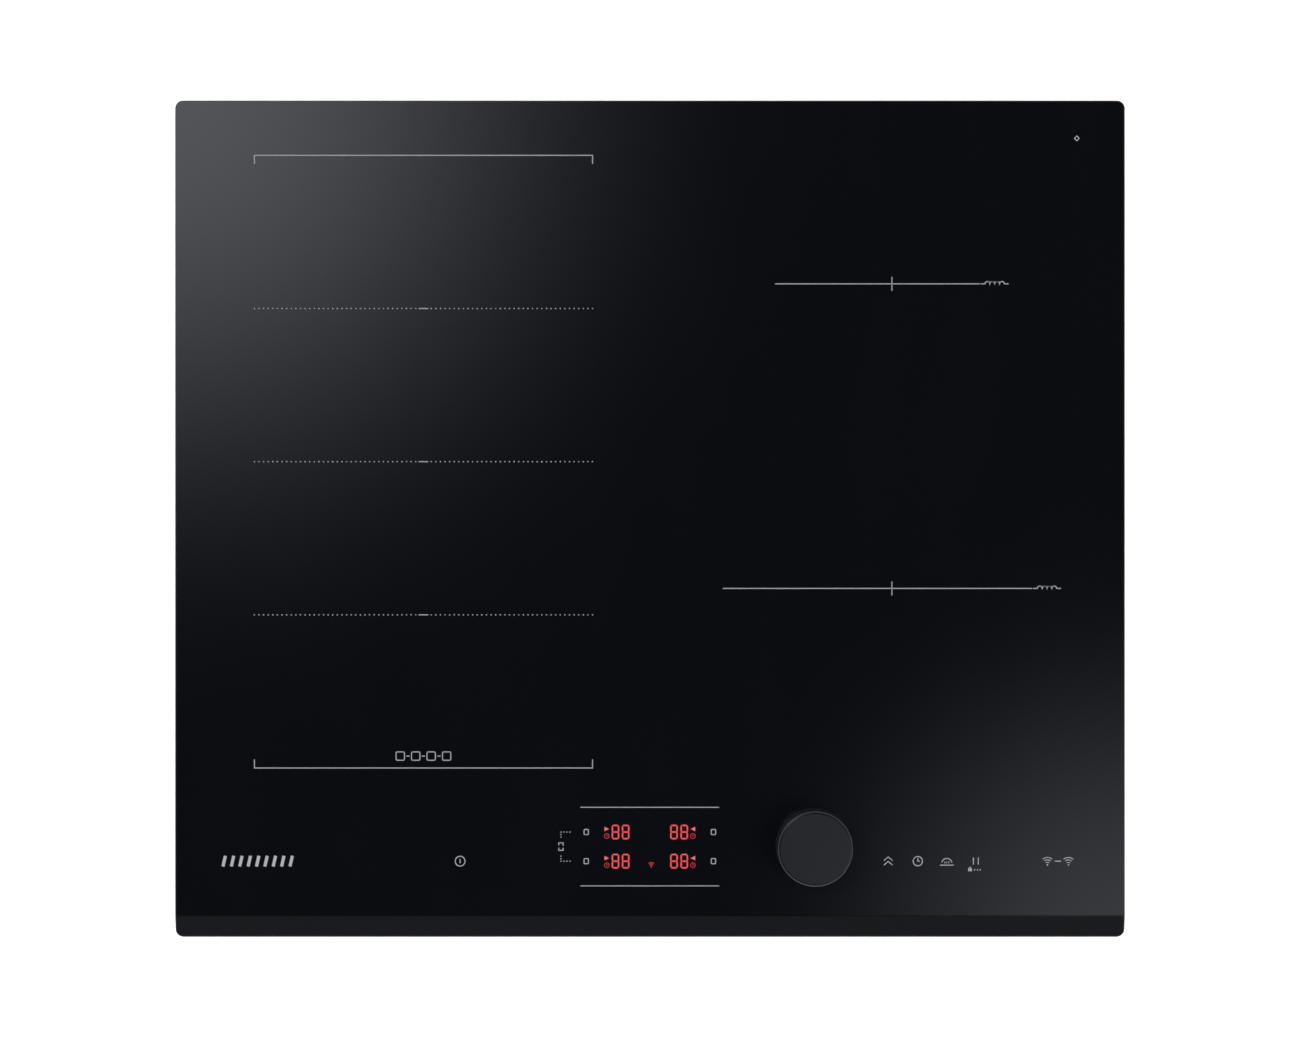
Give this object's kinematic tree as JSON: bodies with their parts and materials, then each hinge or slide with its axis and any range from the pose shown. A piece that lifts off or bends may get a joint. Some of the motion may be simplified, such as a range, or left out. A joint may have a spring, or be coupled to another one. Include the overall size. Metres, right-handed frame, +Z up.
{
  "type": "induction hob",
  "caption": "Built-in induction hob: black glass top with ground front edge, flexible and round zones, touch strip and a lift-off magnetic dial, steel case with spring clips and mains entry.",
  "frame": {"origin": "middle of the case's underside, where the hob stands when it is out of the worktop", "axes": "+Z up out of the glass, -Y towards the user's side with the controls, +X to the user's right"},
  "size_m": [0.59, 0.52, 0.07],
  "materials": {
    "glass": "black glass ceramic, polished",
    "foam": "closed-cell foam tape",
    "zinc_steel": "galvanised sheet",
    "spring_steel": "plain spring steel strip",
    "bright_steel": "bright zinc plated",
    "black_plastic": "fine moulded grain",
    "white_plastic": "smooth moulded",
    "coil_plastic": "glass-filled moulding",
    "display_plastic": "smoked red window over numeric displays",
    "rubber": "moulded black rubber",
    "aluminium": "mill finish sheet",
    "copper": "enamelled copper litz winding",
    "mica": "pressed mica sheet",
    "board": "green solder resist",
    "magnet": "nickel plated magnet",
    "dial": "graphite anodised, fine matte"
  },
  "bodies": {
    "hob": {"glass_top": "glass", "glass_frame": "zinc_steel", "worktop_seal": "foam", "bottom_case": "zinc_steel", "spring_clip_left_front": "spring_steel", "clip_screw_left_front": "bright_steel", "spring_clip_left_rear": "spring_steel", "clip_screw_left_rear": "bright_steel", "spring_clip_right_front": "spring_steel", "clip_screw_right_front": "bright_steel", "spring_clip_right_rear": "spring_steel", "clip_screw_right_rear": "bright_steel", "case_screw_left": "bright_steel", "case_screw_right": "bright_steel", "case_screw_front_left": "bright_steel", "case_screw_front_right": "bright_steel", "case_screw_rear_left": "bright_steel", "case_screw_rear_right": "bright_steel", "terminal_box": "black_plastic", "terminal_block": "white_plastic", "cable_gland": "rubber", "coil_deck": "aluminium", "flex_coil_former_1": "coil_plastic", "flex_winding_1": "copper", "flex_sensor_1": "white_plastic", "flex_coil_former_2": "coil_plastic", "flex_winding_2": "copper", "flex_sensor_2": "white_plastic", "flex_coil_former_3": "coil_plastic", "flex_winding_3": "copper", "flex_sensor_3": "white_plastic", "flex_coil_former_4": "coil_plastic", "flex_winding_4": "copper", "flex_sensor_4": "white_plastic", "rear_coil_former": "coil_plastic", "rear_winding": "copper", "rear_sensor": "white_plastic", "front_coil_former": "coil_plastic", "front_winding": "copper", "front_sensor": "white_plastic", "flex_mica_sheet": "mica", "rear_mica_sheet": "mica", "front_mica_sheet": "mica", "power_board_left": "board", "power_board_right": "board", "heat_sink_left": "aluminium", "heat_sink_right": "aluminium", "filter_choke": "copper", "fan_housing": "black_plastic", "fan_motor": "bright_steel", "control_tray": "black_plastic", "control_board": "board", "display_block": "display_plastic", "dock_magnet": "magnet"},
    "fan": {"fan_rotor": "black_plastic"},
    "terminal_cover": {"terminal_cover": "black_plastic"},
    "knob_base": {"knob_foot": "rubber"},
    "knob_dial": {"knob_cap": "dial", "knob_magnet": "magnet", "knob_bush": "white_plastic"}
  },
  "joints": [
    {"name": "fan_spin", "type": "hinge", "parent": "hob", "child": "fan", "pos_m": [0, 0.15, 0.02], "axis": [0, 0, 1], "continuous": true},
    {"name": "terminal_cover_hinge", "type": "hinge", "parent": "hob", "child": "terminal_cover", "pos_m": [0.204, 0.2374, 0.0365], "axis": [1, 0, 0], "range_deg": [0, 90]},
    {"name": "knob_lift", "type": "slide", "parent": "hob", "child": "knob_base", "axis": [0, 0, 1], "range_m": [0, 0.06]},
    {"name": "knob_turn", "type": "hinge", "parent": "knob_base", "child": "knob_dial", "pos_m": [0.1018, -0.203, 0.057], "axis": [0, 0, 1], "continuous": true}
  ]
}
